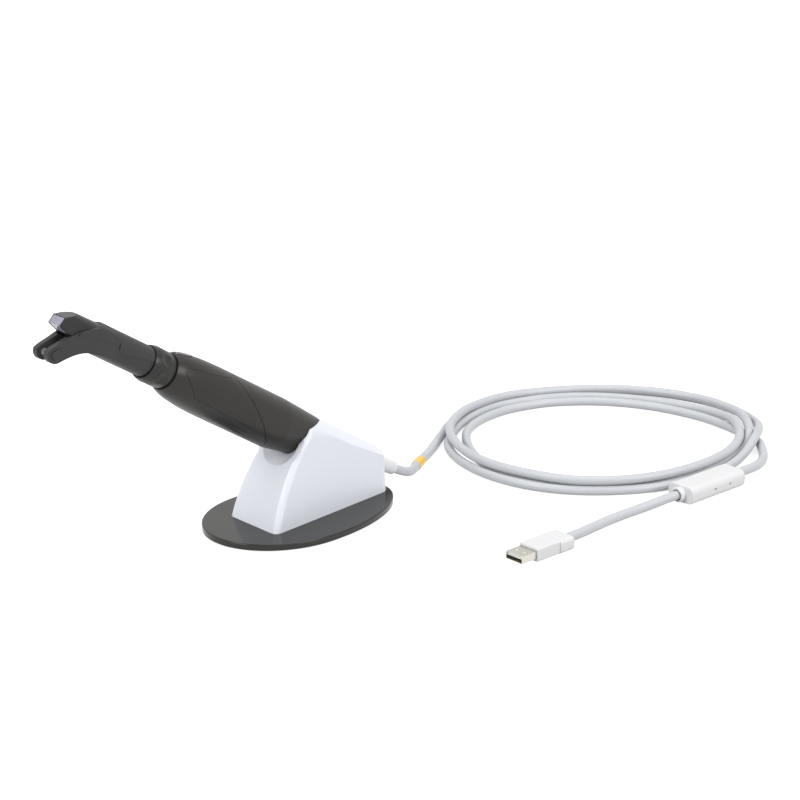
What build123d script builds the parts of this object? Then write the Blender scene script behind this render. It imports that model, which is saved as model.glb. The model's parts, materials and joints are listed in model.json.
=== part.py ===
from build123d import *
import math
import os

os.makedirs("parts", exist_ok=True)

# Dental camera that shines through a tooth: a handpiece resting in its bench stand,
# with a coiled lead, an inline box and a plug. Millimetres, +Z up, the table at Z = 0.

# Where the handpiece lies: its axis falls from the tip (-X) to the tail (+X)
TILT = 32.1
RING_AT = Vector(-99.3, 0, 110.3)
ALONG = Vector(math.cos(math.radians(TILT)), 0, -math.sin(math.radians(TILT)))
UP = Vector(math.sin(math.radians(TILT)), 0, math.cos(math.radians(TILT)))
SIDE = Plane(origin=RING_AT, x_dir=ALONG, z_dir=(0, -1, 0))
PLAN = Plane(origin=RING_AT, x_dir=ALONG, z_dir=UP)
HAND_AXIS = Axis(RING_AT, ALONG)

# Base plate and stand
PLATE_T = 3.5
PAD_T = 0.8
PLATE_TOP = PLATE_T + PAD_T
PLATE_HALF_WIDTH = 41.0
PLATE_MID_X = -13.0
PLATE_FRONT = 48.0
PLATE_REAR = 74.0
PAD_INSET = 3.0
STAND_FRONT_X = -35.4
STAND_REAR_X = 57.5
STAND_FRONT_HALF = 20.7
STAND_REAR_HALF = 10.5
STAND_DRAFT = 2.5
STAND_WALL = 2.2
BROW_X = -4.7
BROW_Z = 56.0
RIDGE_H = 13.3
CROWN_R = 15.5
SCOOP_X = -13.8
SCOOP_Z = 46.0
SCOOP_TILT = 39.0
SCOOP_HALF = 13.0
SCOOP_DEPTH = 4.5
FRONT_SCREW_X = -20.0
FRONT_SCREW_Y = 14.2
REAR_SCREW_X = 42.0
SCREW_R = 1.5
SCREW_HEAD_R = 2.9
SCREW_HEAD_H = 1.7
BOSS_R = 3.4
BOSS_H = 9.0

# Ring switch
RING_FRONT = -5.5
RING_REAR = 9.1
RING_END_R = 9.3
RING_CROWN_R = 10.4
RING_BORE_R = 8.5
RING_GAP = 0.3
DIMPLES = 6
DIMPLE_R = 12.0
DIMPLE_DEPTH = 1.1

# Nose tube, which carries the camera head and the tip
NOSE_R = 7.55
NOSE_BORE_R = 5.6
NOSE_FRONT = -40.0
NOSE_FLANGE_R = 9.4
NOSE_FLANGE_T = 2.0
ORING_R = 0.4
ORING_STAND = 0.1
ORING_AT = (-12.0, -34.0)
BARREL_FRONT = -33.0
BARREL_REAR = -12.0
LENS_R = 4.0
LENS_T = 3.0
LENS_ROUND = 1.6

# Handle shells
GRIP_FRONT = RING_REAR + RING_GAP
SWELL = [(0.0, 10.4), (4.0, 12.0), (10.6, 13.3), (20.0, 14.2), (32.0, 14.6)]
BODY_R = 14.75
SHELL_WALL = 2.2
TAIL_FROM = 93.0
TAIL = [(TAIL_FROM, BODY_R, 0.0), (108.0, 13.3, 0.75), (120.8, 12.1, 1.3)]
SPIGOT = [(120.8, 10.1, 1.3), (150.0, 8.6, 3.1)]
SEAM = [(43.0, 18.0), (52.0, 11.6), (61.4, 5.5), (75.8, -4.2), (86.0, -11.4), (94.0, -18.0)]
SEAM_GAP = 0.12
GRIP_PAD_T = 1.2
GRIP_PAD_GAP = 0.12
GRIP_PAD_PROUD = 0.1
INSERT_MID = 16.0
INSERT_LENGTH = 11.0
INSERT_WIDTH = 8.4
INSERT_T = 1.4
INSERT_PROUD = 0.35
REACH = 30.0

# Tip: a sleeve that pushes over the nose, with two arms that stand either side of the tooth
TIP_REAR = RING_FRONT - RING_GAP
TIP_R = 8.65
TIP_LOW_R = 8.3
TIP_CLEAR = 0.2
TIP_BORE_R = NOSE_R + TIP_CLEAR
TIP_FRONT = -75.0
ARM_INNER_Y = 3.1
ARM_OUTER_Y = 6.3
GUIDE_Y = (ARM_INNER_Y + ARM_OUTER_Y) / 2
GUIDE_R = 0.7
GUIDE_CLEAR = 0.1
WINDOW_R = 1.8
WINDOW_T = GUIDE_Y - GUIDE_R - ARM_INNER_Y
CROTCH = -47.0

# Free cord, its box and its plug
CORD_R = 2.75
BOOT_FROM = 144.0
BOOT_TO = 195.0
BOOT_LIFT_FROM = 2.75
BOOT_LIFT_TO = 6.2
BOOT_BIG_R = 5.0
BOOT_SMALL_R = 3.3
BOX_X = 174.0
BOX_LENGTH = 46.5
BOX_Y = -129.2
BOX_WIDTH = 19.0
BOX_HEIGHT = 10.5
BOX_SPLIT_Z = 3.4
BOX_WALL = 1.3
BOX_CORNER = 4.4
COLLAR_R = 4.3
MARKER_GAP = 0.1
MARKER_T = 0.3
COLLAR_BORE_R = 3.3
COLLAR_LENGTH = 3.6
PLUG_X = 49.5
PLUG_Y = -129.6
PLUG_Z = 4.0
PLUG_FRONT_LENGTH = 17.0
PLUG_WIDTH = 14.4
PLUG_HEIGHT = 7.7
GRIP_LENGTH = 11.0
PLUG_GRIP_WIDTH = 16.6
PLUG_GRIP_HEIGHT = 7.9
USB_WIDTH = 12.0
USB_HEIGHT = 4.5
USB_WALL = 0.3
USB_OUT = 11.0
USB_IN = 5.0


def place(station, height=0.0, y=0.0):
    """Point of the model at a station along the handpiece's axis and a height above it."""
    return RING_AT + ALONG * station + UP * height + Vector(0, y, 0)


def across(station, height=0.0):
    """Plane square to the handpiece's axis, with +Y to the right and the handpiece's top up."""
    return Plane(origin=place(station, height), x_dir=(0, 1, 0), z_dir=ALONG)


def pipe(front, rear, outer, inner=0.0):
    """Plain tube or rod on the handpiece's axis."""
    with BuildPart() as piece:
        with BuildSketch(across(front)):
            Circle(outer)
            if inner:
                Circle(inner, mode=Mode.SUBTRACT)
        extrude(amount=rear - front)
    return piece.part


def side_slab(outline, y_from, y_to):
    """Side-view outline of stations and heights, extruded from one Y to another."""
    with BuildPart() as piece:
        with BuildSketch(SIDE.offset(-y_from)):
            with BuildLine():
                Polyline(*outline, close=True)
            make_face()
        extrude(amount=y_to - y_from, dir=(0, 1, 0))
    return piece.part


def plan_slab(half_widths, depth=REACH):
    """Outline seen from above the handpiece, mirrored about its axis and extruded both ways."""
    far_side = [(station, -half) for station, half in reversed(half_widths)]
    with BuildPart() as piece:
        with BuildSketch(PLAN):
            with BuildLine():
                Polyline(*half_widths, *far_side, close=True)
            make_face()
        extrude(amount=depth, both=True)
    return piece.part


def lofted(sections):
    """Round loft through circles given as station, radius and lift of the centre."""
    with BuildPart() as piece:
        for station, radius, lift in sections:
            with BuildSketch(across(station, lift)):
                Circle(radius)
        loft()
    return piece.part


def swelling(inset, skip=0):
    """Handle's front body turned about the axis, with every radius smaller by the inset."""
    curve = [(GRIP_FRONT + step, radius - inset) for step, radius in SWELL][skip:]
    with BuildPart() as piece:
        with BuildSketch(SIDE):
            with BuildLine():
                Spline(*curve)
                Polyline(curve[-1], (TAIL_FROM, BODY_R - inset), (TAIL_FROM, 0), (curve[0][0], 0), curve[0])
            make_face()
        revolve(axis=HAND_AXIS)
    return piece.part


def shrunk(sections, inset, end_inset=0.0):
    """Loft sections with smaller radii, and the last one moved back by the end inset."""
    smaller = [(station, radius - inset, lift) for station, radius, lift in sections]
    station, radius, lift = smaller[-1]
    smaller[-1] = (station - end_inset, radius, lift)
    return smaller


# Base plate, egg-shaped in plan, with its anti-slip pad



def egg(inset):
    """Base plate's outline: a blunt half ellipse in front and a longer one behind."""
    half_width = PLATE_HALF_WIDTH - inset
    with BuildSketch() as outline:
        with BuildLine():
            EllipticalCenterArc((PLATE_MID_X, 0), PLATE_FRONT - inset, half_width, start_angle=90, arc_size=180)
            EllipticalCenterArc((PLATE_MID_X, 0), PLATE_REAR - inset, half_width, start_angle=-90, arc_size=180)
        make_face()
    return outline.sketch


plate_outline = egg(0)
pad_outline = egg(PAD_INSET)

screw_spots = [
    (FRONT_SCREW_X, FRONT_SCREW_Y),
    (FRONT_SCREW_X, -FRONT_SCREW_Y),
    (REAR_SCREW_X, 0),
]

with BuildPart() as base_plate:
    with BuildSketch(Plane.XY.offset(PAD_T)):
        add(plate_outline)
    extrude(amount=PLATE_T)
    fillet(base_plate.edges().group_by(Axis.Z)[-1], 0.7)
    with BuildSketch(Plane.XY.offset(PAD_T)):
        with Locations(*screw_spots):
            Circle(SCREW_HEAD_R + 0.1)
    extrude(amount=SCREW_HEAD_H + 0.1, mode=Mode.SUBTRACT)
    with BuildSketch(Plane.XY.offset(PAD_T)):
        with Locations(*screw_spots):
            Circle(SCREW_R + 0.15)
    extrude(amount=PLATE_T, mode=Mode.SUBTRACT)

with BuildPart() as base_pad:
    with BuildSketch():
        add(pad_outline)
        with Locations(*screw_spots):
            Circle(SCREW_HEAD_R + 0.6, mode=Mode.SUBTRACT)
    extrude(amount=PAD_T)

with BuildPart() as stand_screws:
    with BuildSketch(Plane.XY.offset(PAD_T)):
        with Locations(*screw_spots):
            Circle(SCREW_HEAD_R)
    extrude(amount=SCREW_HEAD_H)
    with BuildSketch(Plane.XY.offset(PAD_T)):
        with Locations(*screw_spots):
            Circle(SCREW_R)
    extrude(amount=PLATE_T + BOSS_H - 2)
    with BuildSketch(Plane.XY.offset(PAD_T)):
        with Locations(*screw_spots):
            RegularPolygon(1.15, 6)
    extrude(amount=1.0, mode=Mode.SUBTRACT)

# Stand: a leaning wedge whose ridge runs on in line with the handpiece

ridge_front = place(121.5, RIDGE_H)
ridge_rear = place(171.0, RIDGE_H)


def wedge(inset):
    """Stand's outer body, or its hollow when the inset is the wall."""
    floor = PLATE_TOP - (1.0 if inset else 0.0)
    front = STAND_FRONT_X + inset
    rear = STAND_REAR_X - inset
    half_front = STAND_FRONT_HALF - inset
    half_rear = STAND_REAR_HALF - inset
    corners = [(front, -half_front), (rear, -half_rear), (rear, half_rear), (front, half_front)]
    with BuildPart() as body:
        with BuildSketch(Plane.XY.offset(floor)) as footprint:
            with BuildLine():
                Polyline(*corners, close=True)
            make_face()
            fillet(footprint.vertices().group_by(Axis.X)[-1], 7.0 - inset)
        extrude(amount=BROW_Z + 6, taper=STAND_DRAFT)
        with BuildSketch(Plane.XZ.offset(-REACH)):
            with BuildLine():
                ThreePointArc((front, floor), (-23.8 + inset, 31.5), (BROW_X + inset, BROW_Z - inset))
                Polyline(
                    (BROW_X + inset, BROW_Z - inset),
                    (ridge_front.X, ridge_front.Z - inset),
                    (ridge_rear.X - inset, ridge_rear.Z - inset),
                    (rear + 2, ridge_rear.Z - 7 - inset),
                    (rear, floor),
                    (front, floor),
                )
            make_face()
        extrude(amount=2 * REACH, dir=(0, -1, 0), mode=Mode.INTERSECT)
    return body.part


outer_wedge = wedge(0.0)
hollow_wedge = wedge(STAND_WALL)

# Crown: rounds the stand over to the ridge, and flares down clear of the sides
with BuildPart() as crown:
    with BuildSketch(across(90.0)):
        with BuildLine():
            side_h = RIDGE_H - CROWN_R
            ThreePointArc((CROWN_R, side_h), (0, RIDGE_H), (-CROWN_R, side_h))
            Polyline((-CROWN_R, side_h), (-REACH, -100), (REACH, -100), (CROWN_R, side_h))
        make_face()
    extrude(amount=120, dir=ALONG)

socket_block = pipe(95, 172, CROWN_R)
socket = lofted([(s, r + 0.3, c) for s, r, c in SPIGOT])
mouth = lofted([(s, r + 0.3, c) for s, r, c in TAIL])
boot_way = lofted([
    (SPIGOT[-1][0] - 1, SPIGOT[-1][1], SPIGOT[-1][2]),
    (162.0, 6.6, 3.9),
    (205.0, 5.3, 5.9),
])
scoop_r = (SCOOP_HALF ** 2 + SCOOP_DEPTH ** 2) / (2 * SCOOP_DEPTH)
scoop_out = Vector(-math.cos(math.radians(SCOOP_TILT)), 0, math.sin(math.radians(SCOOP_TILT)))
scoop_at = Location(Vector(SCOOP_X, 0, SCOOP_Z) + scoop_out * (scoop_r - SCOOP_DEPTH))
scoop_wall = scoop_at * Sphere(scoop_r + STAND_WALL)
scoop_ball = scoop_at * Sphere(scoop_r)

with BuildPart() as stand_shell:
    add(outer_wedge)
    brow = stand_shell.faces().filter_by(GeomType.CYLINDER).sort_by(Axis.X)[0]
    fillet([edge for edge in brow.edges() if abs(edge.center().Y) > 5], 3.5)
    add(crown.part, mode=Mode.INTERSECT)
    add(hollow_wedge - socket_block, mode=Mode.SUBTRACT)
    add(scoop_wall & outer_wedge & crown.part)
    with BuildSketch(Plane.XY.offset(PLATE_TOP)):
        with Locations(*screw_spots):
            Circle(BOSS_R)
    extrude(amount=BOSS_H)
    with BuildSketch(Plane.XY.offset(PLATE_TOP)):
        with Locations(*screw_spots):
            Circle(SCREW_R)
    extrude(amount=BOSS_H - 1, mode=Mode.SUBTRACT)
    add(socket, mode=Mode.SUBTRACT)
    add(mouth, mode=Mode.SUBTRACT)
    add(boot_way, mode=Mode.SUBTRACT)
    add(scoop_ball, mode=Mode.SUBTRACT)

# Handle: two shells that meet on a slanting seam, with soft pads let into their sides

handle_form = swelling(0.0) + lofted(TAIL) + lofted(SPIGOT)
cavity = (
    swelling(SHELL_WALL, skip=1)
    + lofted(shrunk(TAIL, SHELL_WALL, SHELL_WALL))
    + lofted(shrunk([(TAIL[-1][0] - SHELL_WALL - 0.5, SPIGOT[0][1], SPIGOT[0][2]), SPIGOT[1]], SHELL_WALL, 2.0))
)
front_bore = pipe(GRIP_FRONT - 1, GRIP_FRONT + 6, NOSE_R + 0.1)
cable_hole = lofted([(BOOT_FROM, BOOT_BIG_R + 0.05, BOOT_LIFT_FROM), (160.0, BOOT_BIG_R + 0.05, 3.85)])
handle_skin = handle_form - cavity - front_bore - cable_hole

GRIP_PAD_OUTLINE = [(14.4, 6.0), (22.0, 7.7), (33.0, 8.9), (45.5, 11.6), (69.5, -4.6), (74.5, -8.2), (25.5, -6.8),
               (17.0, 0.6), (14.2, 3.2)]
pad_layer = swelling(-GRIP_PAD_PROUD) - swelling(GRIP_PAD_T)
pocket_layer = swelling(-2.0) - swelling(GRIP_PAD_T + GRIP_PAD_GAP)


def pad_slab(side, grow):
    """Grip pad's side outline, grown by a gap, on the +Y side (1) or the -Y side (-1)."""
    with BuildPart() as piece:
        with BuildSketch(SIDE) as outline:
            with BuildLine():
                Polyline(*GRIP_PAD_OUTLINE, close=True)
            make_face()
            fillet(outline.vertices(), 1.2)
            if grow:
                offset(amount=grow, mode=Mode.REPLACE)
        extrude(amount=REACH, dir=(0, side, 0))
    return piece.part


def insert_slab(grow):
    """Oblong of the status window, grown by a gap, standing up from the handpiece's axis."""
    with BuildPart() as piece:
        with BuildSketch(PLAN):
            with Locations((INSERT_MID, 0)):
                SlotOverall(INSERT_LENGTH + 2 * grow, INSERT_WIDTH + 2 * grow)
        extrude(amount=REACH)
    return piece.part


def seam_region(shift, far_station):
    """Side-view region on one side of the seam, as wide as the handle."""
    curve = [(station + shift, height) for station, height in SEAM]
    with BuildPart() as piece:
        with BuildSketch(SIDE):
            with BuildLine():
                Spline(*curve)
                Polyline(curve[-1], (far_station, curve[-1][1]), (far_station, curve[0][1]), curve[0])
            make_face()
        extrude(amount=REACH, both=True)
    return piece.part


with BuildPart() as grip_shell:
    add(handle_skin)
    add(seam_region(0.0, -10.0), mode=Mode.INTERSECT)
    for side in (1, -1):
        add(pocket_layer & pad_slab(side, GRIP_PAD_GAP), mode=Mode.SUBTRACT)
    add((swelling(-2.0) - swelling(INSERT_T)) & insert_slab(GRIP_PAD_GAP), mode=Mode.SUBTRACT)

with BuildPart() as rear_shell:
    add(handle_skin)
    add(seam_region(SEAM_GAP, 165.0), mode=Mode.INTERSECT)

with BuildPart() as grip_pad_left:
    add(pad_layer & pad_slab(1, 0.0))

with BuildPart() as grip_pad_right:
    add(pad_layer & pad_slab(-1, 0.0))

with BuildPart() as status_window:
    add((swelling(-INSERT_PROUD) - swelling(INSERT_T)) & insert_slab(0.0))

# Nose tube and what sits in it

flange_at = GRIP_FRONT + SWELL[1][0]
with BuildPart() as nose_tube:
    add(pipe(NOSE_FRONT, flange_at + NOSE_FLANGE_T, NOSE_R, NOSE_BORE_R))
    add(pipe(flange_at, flange_at + NOSE_FLANGE_T, NOSE_FLANGE_R, NOSE_BORE_R))
    groove_floor = NOSE_R + ORING_STAND - 2 * ORING_R
    for station in ORING_AT:
        add(pipe(station - 0.6, station + 0.6, NOSE_R + 1, groove_floor), mode=Mode.SUBTRACT)

with BuildPart() as nose_orings:
    with BuildSketch(SIDE):
        with Locations(*[(station, groove_floor + ORING_R) for station in ORING_AT]):
            Circle(ORING_R)
    revolve(axis=HAND_AXIS)

with BuildPart() as ring_cushion:
    add(pipe(0.8, 3.2, NOSE_R + 0.3, NOSE_R))

with BuildPart() as ring_switch:
    with BuildSketch(SIDE):
        with BuildLine():
            Spline(
                (RING_FRONT, RING_END_R),
                (RING_FRONT + 4.0, RING_CROWN_R - 0.15),
                (RING_FRONT + 8.0, RING_CROWN_R),
                (RING_REAR, RING_END_R + 0.2),
            )
            Polyline(
                (RING_REAR, RING_END_R + 0.2),
                (RING_REAR, RING_BORE_R),
                (RING_FRONT, RING_BORE_R),
                (RING_FRONT, RING_END_R),
            )
        make_face()
    revolve(axis=HAND_AXIS)
    dimple_out = RING_CROWN_R + DIMPLE_R - DIMPLE_DEPTH
    with Locations(across((RING_FRONT + RING_REAR) / 2 + 0.4)):
        with PolarLocations(dimple_out, DIMPLES, start_angle=90):
            Sphere(DIMPLE_R, mode=Mode.SUBTRACT)

with BuildPart() as lens_barrel:
    add(pipe(BARREL_FRONT, BARREL_REAR, NOSE_BORE_R, LENS_R))

with BuildPart() as front_lens:
    add(pipe(BARREL_FRONT, BARREL_FRONT + LENS_T, LENS_R))
    fillet(front_lens.edges().sort_by(Axis.X)[0], LENS_ROUND)

with BuildPart() as rear_lens:
    add(pipe(BARREL_REAR - LENS_T, BARREL_REAR, LENS_R))
    fillet(rear_lens.edges().sort_by(Axis.X)[-1], LENS_ROUND)

with BuildPart() as sensor_board:
    add(pipe(-8.6, -7.4, NOSE_BORE_R))

with BuildPart() as image_sensor:
    with BuildSketch(across(-10.2)):
        Rectangle(6.0, 5.0)
    extrude(amount=1.6)

# Chassis inside the handle, with the main board on it

with BuildPart() as chassis:
    add(pipe(flange_at + NOSE_FLANGE_T, flange_at + NOSE_FLANGE_T + 3.0, 9.0))
    with BuildSketch(across(flange_at + NOSE_FLANGE_T + 3.0, -4.5)):
        Rectangle(14.0, 3.0)
    extrude(amount=93.0)
    add(pipe(60.0, 63.0, BODY_R - SHELL_WALL - 0.3))
    with BuildSketch(across(59.0, 6.0)):
        Rectangle(15.6, 18.0)
    extrude(amount=5.0, mode=Mode.SUBTRACT)

with BuildPart() as main_board:
    with BuildSketch(across(21.0, -2.2)):
        Rectangle(15.0, 1.6)
    extrude(amount=76.0)
    with BuildSketch(across(30.0, -0.6)):
        Rectangle(9.0, 1.6)
    extrude(amount=9.0)
    with BuildSketch(across(70.0, -0.1)):
        Rectangle(7.0, 2.6)
    extrude(amount=8.0)

with BuildPart() as cable_clamp:
    with BuildSketch(across(103.0, 0.2)):
        Rectangle(10.0, 6.4)
        Circle(CORD_R, mode=Mode.SUBTRACT)
    extrude(amount=8.0)

with BuildPart() as cord_boot:
    add(lofted([
        (BOOT_FROM, BOOT_BIG_R, BOOT_LIFT_FROM),
        (BOOT_TO, BOOT_SMALL_R, BOOT_LIFT_TO),
    ]))
    add(lofted([(BOOT_FROM - 2.0, BOOT_BIG_R + 1.4, 2.6), (BOOT_FROM + 2.0, BOOT_BIG_R + 1.2, 2.85)]))

# Camera head: the hood at the nose's front, with the prism that looks down on the tooth

head_outline = [(NOSE_FRONT, 7.45), (-58.3, 7.2), (-66.2, 2.6), (-67.3, -2.5), (-58.6, -4.7), (-49.0, -5.6),
                (NOSE_FRONT, -7.3)]
head_plan = [(NOSE_FRONT, 7.5), (-50.0, 7.4), (-58.0, 6.4), (-67.6, 5.3)]
prism_outline = [(-66.22, 2.3), (-67.22, -2.3), (-60.5, -4.1), (-59.5, 2.0)]
PRISM_HALF = 4.7
LAMP_Y = 4.5
LAMP_H = -3.9
LAMP_R = 1.1
LAMP_FRONT = -47.5
LAMP_LENGTH = 5.0

with BuildPart() as camera_head:
    add(side_slab(head_outline, -8, 8) & plan_slab(head_plan))
    fillet(camera_head.edges(), 0.5)
    add(pipe(-68, NOSE_FRONT, NOSE_R - 0.05), mode=Mode.INTERSECT)
    add(pipe(NOSE_FRONT, NOSE_FRONT + 6, NOSE_BORE_R, 3.0))
    add(side_slab([(-66.8, 2.5), (-67.8, -2.3), (-60.5, -5.2), (-59.3, 2.3)], -PRISM_HALF, PRISM_HALF),
        mode=Mode.SUBTRACT)
    add(pipe(-59.6, NOSE_FRONT + 1, 3.0), mode=Mode.SUBTRACT)
    for y in (LAMP_Y, -LAMP_Y):
        with BuildSketch(across(LAMP_FRONT - 4, LAMP_H)):
            with Locations((y, 0)):
                Circle(LAMP_R + 0.05)
        extrude(amount=LAMP_LENGTH + 4, mode=Mode.SUBTRACT)

with BuildPart() as head_prism:
    add(side_slab(prism_outline, -PRISM_HALF, PRISM_HALF))

with BuildPart() as light_modules:
    with BuildSketch(across(LAMP_FRONT, LAMP_H)):
        with Locations((LAMP_Y, 0), (-LAMP_Y, 0)):
            Circle(LAMP_R)
    extrude(amount=LAMP_LENGTH)

# Tip sleeve with its two arms

upper_line = [(-39.6, 9.6), (-46.3, 5.2), (-52.5, 1.6), (-56.3, -1.3), (-59.4, -4.8), (-63.2, -9.6),
              (-66.2, -13.2), (-68.3, -16.6)]
lower_line = [(-60.6, -19.8), (-55.6, -14.4), (-52.0, -11.3), (-45.8, -8.5)]
crease = [(-45.8, -8.5), (-33.1, -4.5), (-21.8, -1.3), (TIP_REAR - 1.5, 1.3)]
tip_plan = [(TIP_REAR, 9.0), (-43.0, 8.9), (-52.0, 8.2), (-58.0, 7.3), (-64.0, 6.5), (TIP_FRONT, 6.2)]
clear_plan = [(0.0, 12.0), (-47.0, 12.0), (-50.0, 7.8), (-58.0, 6.75), (TIP_FRONT, 5.8)]

with BuildPart() as arm_blank:
    with BuildSketch(SIDE):
        with BuildLine():
            Spline(*upper_line)
            ThreePointArc(upper_line[-1], (-65.6, -20.4), lower_line[0])
            Spline(*lower_line)
            Polyline(lower_line[-1], (-30.0, -5.0), (-30.0, 4.0), upper_line[0])
        make_face()
    extrude(amount=9.0, both=True)

with BuildPart() as crease_region:
    with BuildSketch(SIDE):
        with BuildLine():
            Spline(*crease)
            Polyline(crease[-1], (TIP_REAR, 1.3), (TIP_REAR, 12), (-70, 12), (-70, -8.5), crease[0])
        make_face()
    extrude(amount=12.0, both=True)

head_way = (
    pipe(-80, TIP_REAR + 1, TIP_BORE_R)
    & plan_slab(clear_plan)
    & side_slab([(2, 10), (2, -10), (-47.5, -10), (-49.0, -6.1), (-80, -5.0), (-80, 10)], -12, 12)
)

with BuildPart() as upper_cut:
    with BuildSketch(SIDE):
        with BuildLine():
            Spline(*upper_line)
            Polyline(upper_line[-1], (-90, -16.6), (-90, 14), (-39.6, 14), upper_line[0])
        make_face()
    extrude(amount=12.0, both=True)

with BuildPart() as arm_gap:
    with BuildSketch(PLAN):
        with Locations((CROTCH - 20, 0)):
            SlotOverall(40.0, 2 * ARM_INNER_Y)
    extrude(amount=-30.0)

GUIDE_POINTS = [(-49.5, -8.0), (-56.0, -10.9), (-63.4, -16.6)]


def guide_rod(y, radius):
    """Light guide's rod along an arm, at the given Y."""
    plane = SIDE.offset(-y)
    with BuildPart() as rod:
        with BuildLine(plane) as path:
            FilletPolyline(*GUIDE_POINTS, radius=12.0)
        with BuildSketch(Plane(origin=path.line @ 0, z_dir=path.line % 0)):
            Circle(radius)
        sweep(path=path.line)
    return rod.part


def light_disc(y_from, y_to):
    """Light window's disc on an arm's inner face."""
    with BuildPart() as disc:
        with BuildSketch(SIDE.offset(-y_from)):
            with Locations(GUIDE_POINTS[-1]):
                Circle(WINDOW_R)
        extrude(amount=-(y_to - y_from))
    return disc.part


with BuildPart() as tip_sleeve:
    add(pipe(TIP_FRONT, TIP_REAR, TIP_LOW_R) & side_slab([(0, 12), (0, -12), (-47, -12), (-47, 12)], -12, 12))
    add(pipe(TIP_FRONT, TIP_REAR, TIP_R) & crease_region.part
        & side_slab([(0, 12), (0, -12), (-56, -12), (-56, 12)], -12, 12))
    add(arm_blank.part & plan_slab(tip_plan))
    add(upper_cut.part, mode=Mode.SUBTRACT)
    add(head_way, mode=Mode.SUBTRACT)
    add(arm_gap.part, mode=Mode.SUBTRACT)
    for side in (1, -1):
        with BuildSketch(SIDE.offset(-side * (ARM_OUTER_Y - 0.6))):
            with Locations((-62.6, -15.6)):
                SlotOverall(6.6, 4.6, rotation=50)
        extrude(amount=-side * 1.5)
        add(guide_rod(side * GUIDE_Y, GUIDE_R + GUIDE_CLEAR), mode=Mode.SUBTRACT)
        add(light_disc(side * (ARM_INNER_Y - 1), side * (ARM_INNER_Y + WINDOW_T + 0.05)), mode=Mode.SUBTRACT)

with BuildPart() as light_guide_left:
    add(guide_rod(GUIDE_Y, GUIDE_R))

with BuildPart() as light_guide_right:
    add(guide_rod(-GUIDE_Y, GUIDE_R))

with BuildPart() as light_window_left:
    add(light_disc(ARM_INNER_Y, ARM_INNER_Y + WINDOW_T))

with BuildPart() as light_window_right:
    add(light_disc(-ARM_INNER_Y, -ARM_INNER_Y - WINDOW_T))

# Free cord: lead from the boot, coil, loop to the box, and the lead to the plug

boot_end = place(BOOT_TO, BOOT_LIFT_TO)
LEAD = [
    (boot_end.X, boot_end.Y, boot_end.Z),
    (78.1, 0.0, 7.25),
    (87.3, 3.5, 4.3),
    (96.3, 9.8, 3.3),
    (107.2, 16.3, 3.25),
    (118.0, 22.0, 2.8),
    (129.0, 28.8, 2.8),
    (140.0, 36.3, 2.8),
    (151.0, 43.2, 2.8),
]
TAIL_LOOP = [
    (282.0, -99.6, 2.8),
    (276.2, -106.0, 2.8),
    (269.0, -113.2, 2.8),
    (260.0, -120.4, 2.9),
    (249.4, -125.8, 3.6),
    (238.0, -128.7, 4.7),
    (227.0, -129.3, 5.2),
    (BOX_X + BOX_LENGTH, BOX_Y, BOX_HEIGHT / 2),
]
PLUG_LEAD = [
    (BOX_X, BOX_Y, BOX_HEIGHT / 2),
    (163.0, -128.0, 4.7),
    (150.5, -126.2, 3.4),
    (136.0, -125.0, 2.8),
    (119.0, -125.2, 2.9),
    (103.0, -126.6, 2.8),
    (89.5, -128.6, 3.3),
    (PLUG_X + PLUG_FRONT_LENGTH + GRIP_LENGTH, PLUG_Y, PLUG_Z),
]


def bend_radii(points):
    """Largest tangent arc for each inner point: 0.45 of the shorter run over tan of half the turn."""
    corners = [Vector(*point) for point in points]
    radii = []
    for before, here, after in zip(corners, corners[1:], corners[2:]):
        run_in = here - before
        run_out = after - here
        half_turn = math.radians(run_in.get_angle(run_out)) / 2
        radii.append(0.45 * min(run_in.length, run_out.length) / math.tan(half_turn))
    return radii


def cord_tube(points):
    """Round tube of the cord along straight runs joined by tangent arcs."""
    radii = bend_radii(points)
    with BuildPart() as tube:
        with BuildLine() as route:
            FilletPolyline(*points, radius=radii)
        with BuildSketch(Plane(origin=route.line @ 0, z_dir=route.line % 0)):
            Circle(CORD_R)
        sweep(path=route.line)
    length = sum(edge.length for edge in route.edges())
    print("cord run", round(length, 1), "bends", [round(radius) for radius in radii],
          "volume ratio", round(tube.part.volume / (math.pi * CORD_R ** 2 * length), 4))
    return tube.part


with BuildPart() as cord_lead:
    add(cord_tube(LEAD))

with BuildPart() as cord_loop:
    add(cord_tube(TAIL_LOOP))

with BuildPart() as cord_plug_lead:
    add(cord_tube(PLUG_LEAD))

COIL_H = 10.6
COIL_OUTER = Location((215.1, -30.5), -16.5)
COIL_OUTER_A = 103.0
COIL_OUTER_B = 87.0
COIL_INNER = Location((210.4, -32.6), -19.8)
COIL_INNER_A = 80.5
COIL_INNER_B = 74.5

with BuildPart() as cord_coil:
    with BuildSketch():
        with Locations(COIL_OUTER):
            Ellipse(COIL_OUTER_A, COIL_OUTER_B)
        with Locations(COIL_INNER):
            Ellipse(COIL_INNER_A, COIL_INNER_B, mode=Mode.SUBTRACT)
    extrude(amount=COIL_H)
    fillet(cord_coil.edges(), 2.2)

# Marker sleeve on the lead
marker_from = Vector(*LEAD[3])
marker_to = Vector(*LEAD[4])
marker_dir = (marker_to - marker_from).normalized()
with BuildPart() as marker_sleeve:
    with BuildSketch(Plane(origin=marker_from + marker_dir * 1.0, z_dir=marker_dir)):
        Circle(CORD_R + MARKER_GAP + MARKER_T)
        Circle(CORD_R + MARKER_GAP, mode=Mode.SUBTRACT)
    extrude(amount=(marker_to - marker_from).length - 2.0)

# Inline box: two shells around a small board


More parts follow.
